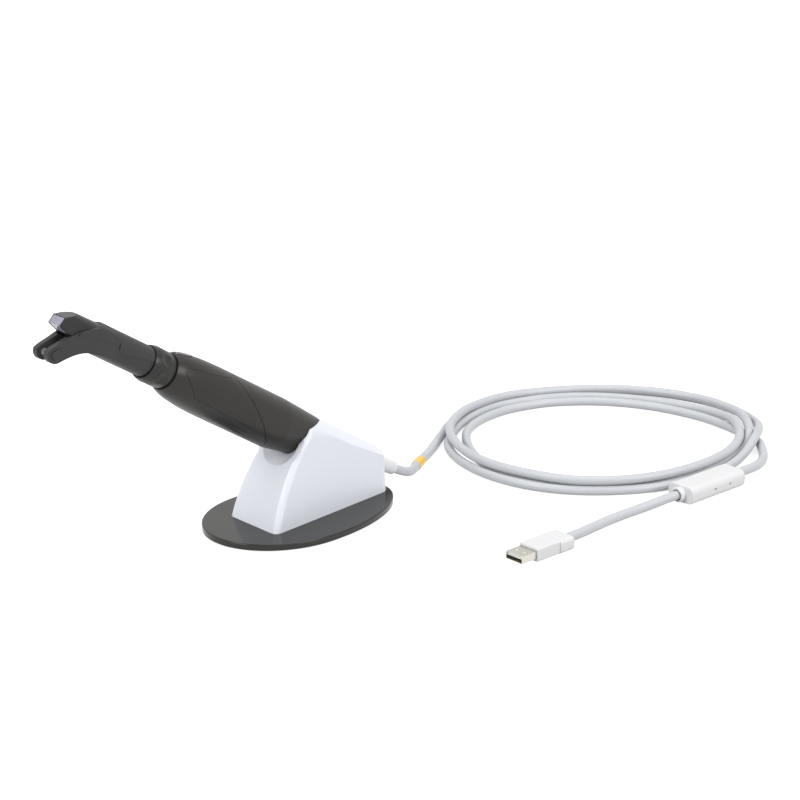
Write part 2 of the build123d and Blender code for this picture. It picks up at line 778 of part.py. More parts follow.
def box_form(inset):
    """Box body with its rounded long sides, smaller all round by the inset."""
    with BuildPart() as body:
        with BuildSketch(Plane(origin=(BOX_X + inset, BOX_Y, BOX_HEIGHT / 2), x_dir=(0, 1, 0), z_dir=(1, 0, 0))):
            RectangleRounded(BOX_WIDTH - 2 * inset, BOX_HEIGHT - 2 * inset, BOX_CORNER - inset)
        extrude(amount=BOX_LENGTH - 2 * inset)
        if not inset:
            fillet(body.faces().filter_by(Axis.X).edges(), 0.8)
    return body.part


box_shell = box_form(0.0) - box_form(BOX_WALL)
cord_ways = [(BOX_X - 1, BOX_WALL + 2), (BOX_X + BOX_LENGTH - BOX_WALL - 1, BOX_WALL + 2)]


def box_half(low, high):
    """Part of the box's shell between two heights, with the cord's ways cut through its ends."""
    with BuildPart() as half:
        add(box_shell)
        with BuildSketch(Plane.XY.offset(low)):
            with Locations((BOX_X + BOX_LENGTH / 2, BOX_Y)):
                Rectangle(BOX_LENGTH + 4, BOX_WIDTH + 4)
        extrude(amount=high - low, mode=Mode.INTERSECT)
        for start, length in cord_ways:
            with BuildSketch(Plane(origin=(start, BOX_Y, BOX_HEIGHT / 2), z_dir=(1, 0, 0))):
                Circle(CORD_R + 0.1)
            extrude(amount=length, mode=Mode.SUBTRACT)
    return half.part


with BuildPart() as box_lower:
    add(box_half(0.0, BOX_SPLIT_Z))

with BuildPart() as box_upper:
    add(box_half(BOX_SPLIT_Z, BOX_HEIGHT))
    with BuildSketch(Plane(origin=(0, BOX_Y - BOX_WIDTH / 2 - 1, 5.6), x_dir=(1, 0, 0), z_dir=(0, 1, 0))):
        with Locations((193.7, 0), (206.6, 0)):
            Circle(0.75)
    extrude(amount=BOX_WALL + 1.5, mode=Mode.SUBTRACT)

with BuildPart() as box_board:
    with BuildSketch(Plane.XY.offset(BOX_WALL)):
        with Locations((BOX_X + BOX_LENGTH / 2, BOX_Y)):
            Rectangle(BOX_LENGTH - 12, BOX_WIDTH - 9.6)
    extrude(amount=1.6)
    with BuildSketch(Plane.XY.offset(BOX_WALL + 1.6)):
        with Locations((BOX_X + BOX_LENGTH / 2, BOX_Y)):
            Rectangle(12, 7)
    extrude(amount=2.0)


def collar(x_from, length):
    """Short round collar where the cord enters the box."""
    with BuildPart() as piece:
        with BuildSketch(Plane(origin=(x_from, BOX_Y, BOX_HEIGHT / 2), z_dir=(1, 0, 0))):
            Circle(COLLAR_R)
        extrude(amount=length)
        fillet(piece.edges().sort_by(Axis.X)[0 if length > 0 and x_from < BOX_X else -1], 0.9)
        with BuildSketch(Plane(origin=(x_from - 1, BOX_Y, BOX_HEIGHT / 2), z_dir=(1, 0, 0))):
            Circle(COLLAR_BORE_R)
        extrude(amount=length + 2, mode=Mode.SUBTRACT)
    return piece.part


with BuildPart() as box_collar_front:
    add(collar(BOX_X - COLLAR_LENGTH, COLLAR_LENGTH))

with BuildPart() as box_collar_rear:
    add(collar(BOX_X + BOX_LENGTH, 2.0))

# Plug: moulded body, metal shell with its tongue and contacts

plug_face = Plane(origin=(PLUG_X, PLUG_Y, PLUG_Z), x_dir=(0, 1, 0), z_dir=(1, 0, 0))

with BuildPart() as plug_body:
    with BuildSketch(plug_face):
        RectangleRounded(PLUG_WIDTH, PLUG_HEIGHT, 1.2)
    extrude(amount=PLUG_FRONT_LENGTH + 1)
    fillet(plug_body.faces().sort_by(Axis.X)[0].edges(), 0.5)
    with BuildSketch(plug_face.offset(PLUG_FRONT_LENGTH)):
        RectangleRounded(PLUG_GRIP_WIDTH, PLUG_GRIP_HEIGHT, 2.6)
    extrude(amount=GRIP_LENGTH)
    fillet(plug_body.faces().sort_by(Axis.X)[-1].edges(), 1.6)
    with BuildSketch(plug_face.offset(-0.1)):
        Rectangle(USB_WIDTH + 0.04, USB_HEIGHT + 0.04)
    extrude(amount=USB_IN + 0.1, mode=Mode.SUBTRACT)

with BuildPart() as plug_shell:
    with BuildSketch(plug_face.offset(-USB_OUT)):
        RectangleRounded(USB_WIDTH, USB_HEIGHT, 0.45)
    extrude(amount=USB_OUT + USB_IN)
    with BuildSketch(plug_face.offset(-USB_OUT)):
        RectangleRounded(USB_WIDTH - 2 * USB_WALL, USB_HEIGHT - 2 * USB_WALL, 0.2)
    extrude(amount=USB_OUT + USB_IN - 1.0, mode=Mode.SUBTRACT)
    with BuildSketch(Plane.XY):
        with Locations((PLUG_X - USB_OUT + 5.2, PLUG_Y + 2.9), (PLUG_X - USB_OUT + 5.2, PLUG_Y - 2.9)):
            Rectangle(2.0, 2.2)
    extrude(amount=10, mode=Mode.SUBTRACT)

with BuildPart() as plug_tongue:
    with BuildSketch(plug_face.offset(-USB_OUT + 0.6)):
        with Locations((0, 0.95)):
            Rectangle(USB_WIDTH - 2 * USB_WALL - 0.4, 2.0)
    extrude(amount=USB_OUT + USB_IN - 1.6)

with BuildPart() as plug_contacts:
    with BuildSketch(plug_face.offset(-USB_OUT + 1.4)):
        with Locations((-3.5, -0.15), (-1.0, -0.15), (1.0, -0.15), (3.5, -0.15)):
            Rectangle(1.0, 0.2)
    extrude(amount=8.0)

pieces = {
    "base_plate": base_plate,
    "base_pad": base_pad,
    "stand_screws": stand_screws,
    "stand_shell": stand_shell,
    "grip_shell": grip_shell,
    "rear_shell": rear_shell,
    "grip_pad_left": grip_pad_left,
    "grip_pad_right": grip_pad_right,
    "status_window": status_window,
    "nose_tube": nose_tube,
    "nose_orings": nose_orings,
    "ring_cushion": ring_cushion,
    "ring_switch": ring_switch,
    "lens_barrel": lens_barrel,
    "front_lens": front_lens,
    "rear_lens": rear_lens,
    "sensor_board": sensor_board,
    "image_sensor": image_sensor,
    "chassis": chassis,
    "main_board": main_board,
    "cable_clamp": cable_clamp,
    "cord_boot": cord_boot,
    "camera_head": camera_head,
    "head_prism": head_prism,
    "light_modules": light_modules,
    "tip_sleeve": tip_sleeve,
    "light_guide_left": light_guide_left,
    "light_guide_right": light_guide_right,
    "light_window_left": light_window_left,
    "light_window_right": light_window_right,
    "cord_lead": cord_lead,
    "cord_coil": cord_coil,
    "cord_loop": cord_loop,
    "cord_plug_lead": cord_plug_lead,
    "marker_sleeve": marker_sleeve,
    "box_lower": box_lower,
    "box_upper": box_upper,
    "box_board": box_board,
    "box_collar_front": box_collar_front,
    "box_collar_rear": box_collar_rear,
    "plug_body": plug_body,
    "plug_shell": plug_shell,
    "plug_tongue": plug_tongue,
    "plug_contacts": plug_contacts,
}

for name, piece in pieces.items():
    piece.part.label = name
    export_step(piece.part, f"parts/{name}.step")
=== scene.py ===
# %% [markdown]
# # A dental camera in its bench stand
#
# A dentist holds this camera over a tooth, and its two arms shine light through the tooth from
# both sides. Between patients it rests in a white stand on a dark plate, with its cord coiled
# beside it. The CAD frame already has every size and place, so this notebook adds what the frame
# lacks: smooth surfaces, softened edges, finishes, the cord's real line and the light.

import json
import math

import bpy
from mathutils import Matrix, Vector


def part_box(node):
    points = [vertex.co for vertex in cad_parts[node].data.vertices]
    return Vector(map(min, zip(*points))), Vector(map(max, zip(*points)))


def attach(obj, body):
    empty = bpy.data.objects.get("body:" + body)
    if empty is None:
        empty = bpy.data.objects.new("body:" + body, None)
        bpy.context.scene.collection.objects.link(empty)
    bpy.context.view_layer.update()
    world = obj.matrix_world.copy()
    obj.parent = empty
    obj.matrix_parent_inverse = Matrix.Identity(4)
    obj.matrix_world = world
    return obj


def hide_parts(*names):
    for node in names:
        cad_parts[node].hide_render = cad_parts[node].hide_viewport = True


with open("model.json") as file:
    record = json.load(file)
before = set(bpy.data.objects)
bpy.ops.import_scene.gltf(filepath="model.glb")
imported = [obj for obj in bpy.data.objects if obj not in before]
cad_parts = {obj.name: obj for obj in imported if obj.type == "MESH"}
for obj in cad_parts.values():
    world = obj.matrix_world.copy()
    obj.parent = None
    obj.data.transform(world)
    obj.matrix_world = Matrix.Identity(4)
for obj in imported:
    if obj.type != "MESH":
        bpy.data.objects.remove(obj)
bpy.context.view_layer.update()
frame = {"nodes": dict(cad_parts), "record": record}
scene = bpy.context.scene
cad = frame["nodes"]
MM = 0.001
body_of_node = {
    node: body for body, members in frame["record"]["behaviour"]["bodies"].items() for node in members
}

# %% [markdown]
# ## Where the photographer stood
#
# The camera comes first, because the cord is checked against what it sees. It looks down at
# 18 degrees from about 1.2 m away, with a long lens, so the stand's sides stay nearly parallel.

# %% Camera
CAMERA_AT = (-0.7377, -0.8870, 0.4523)
CAMERA_TIP = 71.6
CAMERA_TURN = -42.5
LENS = 99
bpy.ops.object.camera_add(
    location=CAMERA_AT, rotation=(math.radians(CAMERA_TIP), 0.0, math.radians(CAMERA_TURN))
)
camera = bpy.context.object
camera.name = "photo_camera"
camera.data.lens = LENS
camera.data.sensor_width = 36
camera.data.clip_end = 30
scene.camera = camera
print("camera at", [round(value, 3) for value in camera.location])

# %% [markdown]
# ## A white sheet and soft light
#
# A product photograph like this one is taken on white paper under large soft lamps. Three wide
# area lamps and a pale world do the same. The white behind the object doesn't come from more
# light, which would bleach the white stand too. Light Path tells the floor and the world when a
# camera ray, a mirror reflection or a refraction looks at them, and only those rays see them
# brightened to white. The floor's diffuse part still takes the object's shadow, but the glow on
# top of it is strong here, so hardly any of the shadow shows. A weaker glow shows more of it, and
# turns the far end of the floor a little grey.

# %% Rays that see the background
def background_rays(tree):
    """Value that is 1 for camera, glossy and transmission rays and 0 for the rest."""
    path = tree.nodes.new("ShaderNodeLightPath")
    add_glossy = tree.nodes.new("ShaderNodeMath")
    add_glossy.operation = "MAXIMUM"
    add_through = tree.nodes.new("ShaderNodeMath")
    add_through.operation = "MAXIMUM"
    tree.links.new(path.outputs["Is Camera Ray"], add_glossy.inputs[0])
    tree.links.new(path.outputs["Is Glossy Ray"], add_glossy.inputs[1])
    tree.links.new(add_glossy.outputs[0], add_through.inputs[0])
    tree.links.new(path.outputs["Is Transmission Ray"], add_through.inputs[1])
    return add_through.outputs[0]


# %% World
ROOM_LIGHT = 0.42
scene.view_settings.view_transform = "Standard"
scene.world = bpy.data.worlds.new("pale_room")
scene.world.use_nodes = True
world_tree = scene.world.node_tree
sky = world_tree.nodes["Background"]
sky_level = world_tree.nodes.new("ShaderNodeMapRange")
world_tree.links.new(background_rays(world_tree), sky_level.inputs["Value"])
sky_level.inputs["To Min"].default_value = ROOM_LIGHT
sky_level.inputs["To Max"].default_value = 1.0
world_tree.links.new(sky_level.outputs["Result"], sky.inputs["Strength"])
sky.inputs["Color"].default_value = (1.0, 1.0, 1.0, 1.0)
print("room light", ROOM_LIGHT)

# %% Floor
FLOOR_SIZE = 14.0
PAPER_SHADE = 0.5
PAPER_GLOW = 0.78
bpy.ops.mesh.primitive_grid_add(x_subdivisions=4, y_subdivisions=4, size=FLOOR_SIZE)
floor = bpy.context.object
floor.name = "paper_floor"
paper = bpy.data.materials.new("white_paper")
paper.use_nodes = True
paper_tree = paper.node_tree
paper_tree.nodes.remove(paper_tree.nodes["Principled BSDF"])
paper_diffuse = paper_tree.nodes.new("ShaderNodeBsdfDiffuse")
paper_diffuse.inputs["Color"].default_value = (PAPER_SHADE, PAPER_SHADE, PAPER_SHADE, 1.0)
paper_glow = paper_tree.nodes.new("ShaderNodeEmission")
paper_level = paper_tree.nodes.new("ShaderNodeMath")
paper_level.operation = "MULTIPLY"
paper_level.inputs[1].default_value = PAPER_GLOW
paper_tree.links.new(background_rays(paper_tree), paper_level.inputs[0])
paper_tree.links.new(paper_level.outputs[0], paper_glow.inputs["Strength"])
paper_sum = paper_tree.nodes.new("ShaderNodeAddShader")
paper_tree.links.new(paper_diffuse.outputs[0], paper_sum.inputs[0])
paper_tree.links.new(paper_glow.outputs[0], paper_sum.inputs[1])
paper_tree.links.new(paper_sum.outputs[0], paper_tree.nodes["Material Output"].inputs["Surface"])
floor.data.materials.append(paper)
print("floor", FLOOR_SIZE, "m")

# %% Lamps
# Place in metres, width in metres and power in watts
LAMPS = {
    "left_lamp": ((-1.9, 0.1, 1.3), 1.2, 27.0),
    "right_lamp": ((0.5, -1.9, 1.3), 1.2, 28.0),
    "top_lamp": ((0.2, 0.3, 2.1), 1.6, 15.0),
}
LAMP_TARGET = Vector((0.03, -0.02, 0.03))
for lamp_name, (place, size, power) in LAMPS.items():
    bpy.ops.object.light_add(type="AREA", location=place)
    lamp = bpy.context.object
    lamp.name = lamp_name
    lamp.data.shape = "DISK"
    lamp.data.size = size
    lamp.data.energy = power
    lamp.rotation_euler = (LAMP_TARGET - Vector(place)).to_track_quat("-Z", "Y").to_euler()
    print(lamp_name, "at", place, power, "W")

# %% [markdown]
# ## Finishes
#
# No moulded plastic is one flat colour. Its mould was spark-eroded, which leaves a grain too fine
# to see but enough to blur a reflection, and hands and cloths change its gloss in soft patches.
# That is the same on every moulded piece here, so it is one node group with its own grain size
# and depth for each material. The shader itself stays in each material.

# %% Node helpers
def group_sockets(name, inputs, outputs):
    """New shader node group with its sockets, and the nodes at its two ends."""
    group = bpy.data.node_groups.new(name, "ShaderNodeTree")
    for label, kind, value in inputs:
        made = group.interface.new_socket(label, in_out="INPUT", socket_type=kind)
        made.default_value = value
    for label, kind in outputs:
        group.interface.new_socket(label, in_out="OUTPUT", socket_type=kind)
    return group, group.nodes.new("NodeGroupInput"), group.nodes.new("NodeGroupOutput")


def math_node(tree, operation, *values):
    """Math node whose inputs are sockets or numbers."""
    node = tree.nodes.new("ShaderNodeMath")
    node.operation = operation
    for slot, value in enumerate(values):
        if isinstance(value, (int, float)):
            node.inputs[slot].default_value = value
        else:
            tree.links.new(value, node.inputs[slot])
    return node.outputs[0]


def noise(tree, vector, scale, detail=3.0):
    """Noise texture on a vector, at a scale that is a socket or a number."""
    node = tree.nodes.new("ShaderNodeTexNoise")
    tree.links.new(vector, node.inputs["Vector"])
    node.inputs["Detail"].default_value = detail
    if isinstance(scale, (int, float)):
        node.inputs["Scale"].default_value = scale
    else:
        tree.links.new(scale, node.inputs["Scale"])
    return node.outputs["Fac"]


# %% Moulded skin group
skin_group, skin_in, skin_out = group_sockets(
    "moulded_skin",
    [
        ("Color", "NodeSocketColor", (0.5, 0.5, 0.5, 1.0)),
        ("Shade Change", "NodeSocketFloat", 0.06),
        ("Roughness", "NodeSocketFloat", 0.4),
        ("Gloss Change", "NodeSocketFloat", 0.08),
        ("Grain Scale", "NodeSocketFloat", 2500.0),
        ("Grain Depth", "NodeSocketFloat", 0.00002),
    ],
    [
        ("Color", "NodeSocketColor"),
        ("Roughness", "NodeSocketFloat"),
        ("Normal", "NodeSocketVector"),
    ],
)
skin_place = skin_group.nodes.new("ShaderNodeTexCoord").outputs["Object"]
patches = math_node(skin_group, "SUBTRACT", noise(skin_group, skin_place, 55.0), 0.5)
skin_shade = math_node(skin_group, "MULTIPLY_ADD", patches, skin_in.outputs["Shade Change"], 1.0)
tint = skin_group.nodes.new("ShaderNodeVectorMath")
tint.operation = "SCALE"
skin_group.links.new(skin_in.outputs["Color"], tint.inputs[0])
skin_group.links.new(skin_shade, tint.inputs["Scale"])
skin_group.links.new(tint.outputs["Vector"], skin_out.inputs["Color"])
wipes = math_node(skin_group, "SUBTRACT", noise(skin_group, skin_place, 140.0, 5.0), 0.5)
gloss_shift = math_node(skin_group, "MULTIPLY", wipes, skin_in.outputs["Gloss Change"])
skin_gloss = math_node(skin_group, "ADD", gloss_shift, skin_in.outputs["Roughness"])
skin_group.links.new(skin_gloss, skin_out.inputs["Roughness"])
skin_bump = skin_group.nodes.new("ShaderNodeBump")
grain_height = noise(skin_group, skin_place, skin_in.outputs["Grain Scale"])
skin_group.links.new(grain_height, skin_bump.inputs["Height"])
skin_group.links.new(skin_in.outputs["Grain Depth"], skin_bump.inputs["Distance"])
skin_group.links.new(skin_bump.outputs["Normal"], skin_out.inputs["Normal"])
print("group", skin_group.name, "with", len(skin_group.nodes), "nodes")


# %% Moulded finishes
def moulded(
    name, color, roughness, grain=2500.0, depth=0.00001, shade=0.06, gloss=0.08, **shader_values
):
    """Material of a moulded or lacquered piece: the skin group feeding a Principled shader."""
    material = bpy.data.materials.new(name)
    material.use_nodes = True
    tree = material.node_tree
    shader = tree.nodes["Principled BSDF"]
    skin = tree.nodes.new("ShaderNodeGroup")
    skin.node_tree = skin_group
    skin.inputs["Color"].default_value = (*color, 1.0)
    for label, value in (
        ("Shade Change", shade),
        ("Roughness", roughness),
        ("Gloss Change", gloss),
        ("Grain Scale", grain),
        ("Grain Depth", depth),
    ):
        skin.inputs[label].default_value = value
    tree.links.new(skin.outputs["Color"], shader.inputs["Base Color"])
    tree.links.new(skin.outputs["Roughness"], shader.inputs["Roughness"])
    tree.links.new(skin.outputs["Normal"], shader.inputs["Normal"])
    for label, value in shader_values.items():
        shader.inputs[label.replace("_", " ")].default_value = value
    return material


LOW_SHEEN = {"Specular_IOR_Level": 0.3}
finishes = {
    "stand_white": moulded(
        "stand_white_abs", (0.80, 0.82, 0.89), 0.34, grain=1800.0, depth=0.000012, shade=0.03
    ),
    "base_dark": moulded(
        "base_dark_lacquer", (0.026, 0.026, 0.0235), 0.1, grain=900.0, depth=0.000006, gloss=0.06, **LOW_SHEEN
    ),
    "rubber_dark": moulded("base_rubber", (0.02, 0.02, 0.02), 0.75, grain=3000.0, depth=0.00005),
    "screw_steel": moulded("screw_steel_bright", (0.55, 0.55, 0.56), 0.3, Metallic=1.0),
    "handle_charcoal": moulded(
        "handle_charcoal_satin", (0.025, 0.023, 0.0215), 0.36, grain=2600.0, depth=0.00001, **LOW_SHEEN
    ),
    "grip_soft": moulded(
        "grip_soft_touch", (0.023, 0.021, 0.0195), 0.42, grain=3200.0, depth=0.00003, **LOW_SHEEN
    ),
    "window_smoke": moulded(
        "window_smoked_acrylic", (0.05, 0.045, 0.055), 0.08, grain=300.0, depth=0.000001
    ),
    "nose_metal": moulded("nose_anodised", (0.2, 0.2, 0.205), 0.35, Metallic=1.0),
    "ring_charcoal": moulded(
        "ring_charcoal_satin", (0.022, 0.021, 0.02), 0.34, grain=2600.0, depth=0.00001, **LOW_SHEEN
    ),
    "head_black": moulded(
        "head_dark_satin", (0.021, 0.021, 0.022), 0.3, grain=2600.0, depth=0.000008, **LOW_SHEEN
    ),
    "board_green": moulded("board_green_mask", (0.02, 0.16, 0.06), 0.3),
    "chip_black": moulded("chip_epoxy", (0.02, 0.02, 0.022), 0.4),
    "inner_plastic": moulded("inner_frame_plastic", (0.08, 0.08, 0.085), 0.5),
    "boot_white": moulded("boot_soft_white", (0.74, 0.75, 0.76), 0.5, grain=2500.0, depth=0.00002),
    "sleeve_grey": moulded(
        "sleeve_matte_grey", (0.034, 0.034, 0.034), 0.5, grain=3400.0, depth=0.00003, **LOW_SHEEN
    ),
    "cord_white": moulded(
        "cord_white_jacket", (0.53, 0.545, 0.57), 0.42, grain=700.0, depth=0.00002, shade=0.04
    ),
    "marker_yellow": moulded(
        "marker_yellow_sleeve", (0.83, 0.53, 0.07), 0.3, grain=900.0, depth=0.00001
    ),
    "box_white": moulded(
        "box_white_abs", (0.71, 0.71, 0.72), 0.4, grain=2400.0, depth=0.000015, shade=0.03
    ),
    "plug_metal": moulded(
        "plug_nickel", (0.56, 0.545, 0.49), 0.28, grain=1500.0, depth=0.000004, Metallic=1.0
    ),
    "tongue_white": moulded("tongue_white_nylon", (0.72, 0.72, 0.70), 0.5),
    "contact_gold": moulded("contact_gold_plate", (0.78, 0.56, 0.22), 0.22, Metallic=1.0),
}
print("moulded finishes", len(finishes))


# %% Clear finishes
def clear_piece(name, color, roughness, ior):
    """Glass or clear plastic, with a polish that varies a little."""
    material = moulded(name, color, roughness, grain=400.0, depth=0.0000005, shade=0.02, gloss=0.03)
    shader = material.node_tree.nodes["Principled BSDF"]
    shader.inputs["Transmission Weight"].default_value = 0.55
    shader.inputs["IOR"].default_value = ior
    return material


finishes["optic_glass"] = clear_piece("prism_glass", (0.62, 0.6, 0.76), 0.06, 1.52)
finishes["light_clear"] = clear_piece("light_guide_clear", (0.82, 0.82, 0.88), 0.12, 1.49)
print("all finishes", len(finishes))

# %% [markdown]
# ## Dressed pieces
#
# A CAD node comes as loose triangles, so it can't be shaded smoothly as it is. For each piece
# that shows, a copy is welded, its flat faces are joined into whole ones, its sharp edges get
# the small rounding that a mould leaves, and weighted normals keep the flat faces flat. The copy
# then stands for the node.

# %% Helpers for dressing
WELD_GAP = 0.000002
FLAT_ANGLE = math.radians(0.3)
BEVEL_FROM = math.radians(32.0)
SMOOTH_BELOW = math.radians(40)


def only(piece):
    """Selects one object and nothing else."""
    bpy.ops.object.select_all(action="DESELECT")
    piece.select_set(True)
    bpy.context.view_layer.objects.active = piece


def slot_of(node):
    """Record slot of a CAD node, which its imported material is named after."""
    return cad[node].data.materials[0].name.split(".")[0]


def hand_over(piece, node):
    """Gives a piece its finish and its body, and hides the node that it stands for."""
    slot = slot_of(node)
    piece.data.materials.clear()
    piece.data.materials.append(finishes[slot])
    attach(piece, body_of_node[node])
    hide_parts(node)


def welded_copy(node, name):
    """Copy of a CAD node with its triangles welded and its flat faces joined."""
    piece = bpy.data.objects.new(name, cad[node].data.copy())
    scene.collection.objects.link(piece)
    only(piece)
    bpy.ops.mesh.customdata_custom_splitnormals_clear()
    bpy.ops.object.mode_set(mode="EDIT")
    bpy.ops.mesh.select_all(action="SELECT")
    bpy.ops.mesh.remove_doubles(threshold=WELD_GAP)
    bpy.ops.mesh.dissolve_limited(angle_limit=FLAT_ANGLE)
    bpy.ops.object.mode_set(mode="OBJECT")
    return piece


def softened(piece, edge):
    """Rounds a piece's sharp edges and sets its shading."""
    only(piece)
    if edge:
        rounding = piece.modifiers.new("mould_rounding", "BEVEL")
        rounding.width = edge
        rounding.segments = 2
        rounding.limit_method = "ANGLE"
        rounding.angle_limit = BEVEL_FROM
        rounding.harden_normals = False
        bpy.ops.object.modifier_apply(modifier=rounding.name)
    bpy.ops.object.shade_smooth_by_angle(angle=SMOOTH_BELOW)
    flat = piece.modifiers.new("flat_faces", "WEIGHTED_NORMAL")
    flat.keep_sharp = True
    bpy.ops.object.modifier_apply(modifier=flat.name)


# %% Along the handpiece
RING_AT = Vector((-99.3, 0.0, 110.3)) * MM
TILT = math.radians(32.1)
ALONG = Vector((math.cos(TILT), 0.0, -math.sin(TILT)))
UP = Vector((math.sin(TILT), 0.0, math.cos(TILT)))


def station_and_height(point):
    """Distance along the handpiece's axis from the ring and height above the axis, in mm."""
    reach = (point - RING_AT) / MM
    return reach.dot(ALONG), reach.dot(UP)


def line_height(line, station):
    """Height of a side-view line at a station, or None past its ends."""
    for (s0, h0), (s1, h1) in zip(line, line[1:]):
        if s0 <= station <= s1:
            return h0 + (h1 - h0) * (station - s0) / (s1 - s0)
    return None


# %% [markdown]
# ### Small changes of shape
#
# Four moulded pieces get a small change on the mesh. The tip's shoulder is drawn in towards the
# round sleeve, which gives its outline. The two handle shells part by a third of a millimetre at
# their seam, so the seam shows as a thin dark line. The boot is soft and swells where the cord
# bends, so its end gets thicker and its lip round. Moving points is quick, but it has a price. A
# flat face has few points, so drawing some of them in bends the face. On the tip that leaves a
# dark slit at the shoulder, and the wall crosses the head, the nose tube and the O-rings behind
# it. A Boolean cut along the sleeve's round would be the better way.

# %% Shape changes
SLEEVE_R = 8.65
SHOULDER_BEFORE = -28
SHOULDER_ABOVE = -1.5
SEAM = [(43.0, 18.0), (52.0, 11.6), (61.4, 5.5), (75.8, -4.2), (86.0, -11.4), (94.0, -18.0)]
SEAM_BAND = 0.6
SEAM_PULL = 0.16
BOOT_START = 144.0
BOOT_LENGTH = 51.0
BOOT_LOW = 2.75
BOOT_RISE = 3.45
SWELL_START = 150.0
SWELL_LENGTH = 45.0
SWELL = 0.2


def drawn_in_shoulder(piece):
    """Draws the tip's shoulder points in to the sleeve's radius, above the arms."""
    for vertex in piece.data.vertices:
        station, height = station_and_height(vertex.co)
        side = vertex.co.y / MM
        radius = math.hypot(side, height)
        if station < SHOULDER_BEFORE and height > SHOULDER_ABOVE and radius > SLEEVE_R:
            pull = SLEEVE_R / radius
            vertex.co += UP * (height * (pull - 1) * MM)
            vertex.co.y = side * pull * MM


def part_at_seam(piece, direction):
    """Moves a shell's seam edge along the handle, away from the other shell."""
    moved = 0
    for vertex in piece.data.vertices:
        station, height = station_and_height(vertex.co)
        seam_height = line_height(SEAM, station)
        if seam_height is not None and abs(height - seam_height) < SEAM_BAND:
            vertex.co += ALONG * (direction * SEAM_PULL * MM)
            moved += 1
    print(piece.name, "moved", moved, "seam points")


def swollen_boot(piece):
    """Thickens the boot towards its end, about its own axis."""
    for vertex in piece.data.vertices:
        station, height = station_and_height(vertex.co)
        share = min(max((station - SWELL_START) / SWELL_LENGTH, 0.0), 1.0)
        axis_height = BOOT_LOW + (station - BOOT_START) / BOOT_LENGTH * BOOT_RISE
        grow = 1 + SWELL * share
        vertex.co += UP * ((height - axis_height) * (grow - 1) * MM)
        vertex.co.y *= grow


reshaping = {
    "tip_sleeve": drawn_in_shoulder,
    "grip_shell": lambda piece: part_at_seam(piece, -1),
    "rear_shell": lambda piece: part_at_seam(piece, 1),
    "cord_boot": swollen_boot,
}

# %% Dress the shells
EDGES = {
    "base_plate": 0.00015,
    "base_pad": 0.0,
    "stand_screws": 0.0001,
    "stand_shell": 0.0003,
    "grip_shell": 0.00012,
    "rear_shell": 0.00012,
    "grip_pad_left": 0.00015,
    "grip_pad_right": 0.00015,
    "status_window": 0.0001,
    "nose_tube": 0.0001,
    "nose_orings": 0.0,
    "ring_cushion": 0.0,
    "ring_switch": 0.0002,
    "lens_barrel": 0.0,
    "front_lens": 0.0,
    "rear_lens": 0.0,
    "cord_boot": 0.0007,
    "camera_head": 0.0001,
    "head_prism": 0.0001,
    "tip_sleeve": 0.0002,
    "light_guide_left": 0.0,
    "light_guide_right": 0.0,
    "light_window_left": 0.0001,
    "light_window_right": 0.0001,
    "box_lower": 0.0001,
    "box_upper": 0.0001,
    "box_collar_front": 0.0002,
    "box_collar_rear": 0.0002,
    "plug_body": 0.0002,
    "plug_shell": 0.00005,
    "plug_tongue": 0.00005,
    "plug_contacts": 0.00002,
}
for node, edge in EDGES.items():
    piece = welded_copy(node, node + "_dressed")
    if node in reshaping:
        reshaping[node](piece)
    softened(piece, edge)
    hand_over(piece, node)
    print(node, len(piece.data.polygons), "faces")

# %% [markdown]
# ## The cord
#
# The cord leaves the handle through its boot, drops to the table and runs to a loose coil of
# three and a half turns. It ends in the inline box, and a second short cord runs from the box to
# the plug. A real coil is one cord, so this is one NURBS spline with the coil's turns as some of
# its points. Each turn was read off the photograph as a distance from the coil's middle at
# chosen angles, with the height at which it lies on the turns under it. A spline of order 3
# passes inside its points, so a loop moves each one out by the share that it loses.

# %% Route of the cord
CORD_D = 5.5 * MM
LEAD = [
    (69.18, 0.0, 11.93), (78.1, 0.0, 7.25), (87.3, 3.5, 4.3), (96.3, 9.8, 3.3), (107.2, 16.3, 3.25),
    (118.0, 22.0, 2.8), (129.0, 28.8, 2.8), (140.0, 36.3, 2.8), (151.0, 43.2, 2.8),
]
TAIL_LOOP = [
    (282.0, -99.6, 2.8), (276.2, -106.0, 2.8), (269.0, -113.2, 2.8), (260.0, -120.4, 2.9),
    (249.4, -125.8, 3.6), (238.0, -128.7, 4.7), (227.0, -129.3, 5.2), (220.5, -129.2, 5.25),
]
PLUG_LEAD = [
    (174.0, -129.2, 5.25), (163.0, -128.0, 4.7), (150.5, -126.2, 3.4), (136.0, -125.0, 2.8),
    (119.0, -125.2, 2.9), (103.0, -126.6, 2.8), (89.5, -128.6, 3.3), (77.5, -129.6, 4.0),
]
COIL_MIDDLE = (214.9, -33.4)
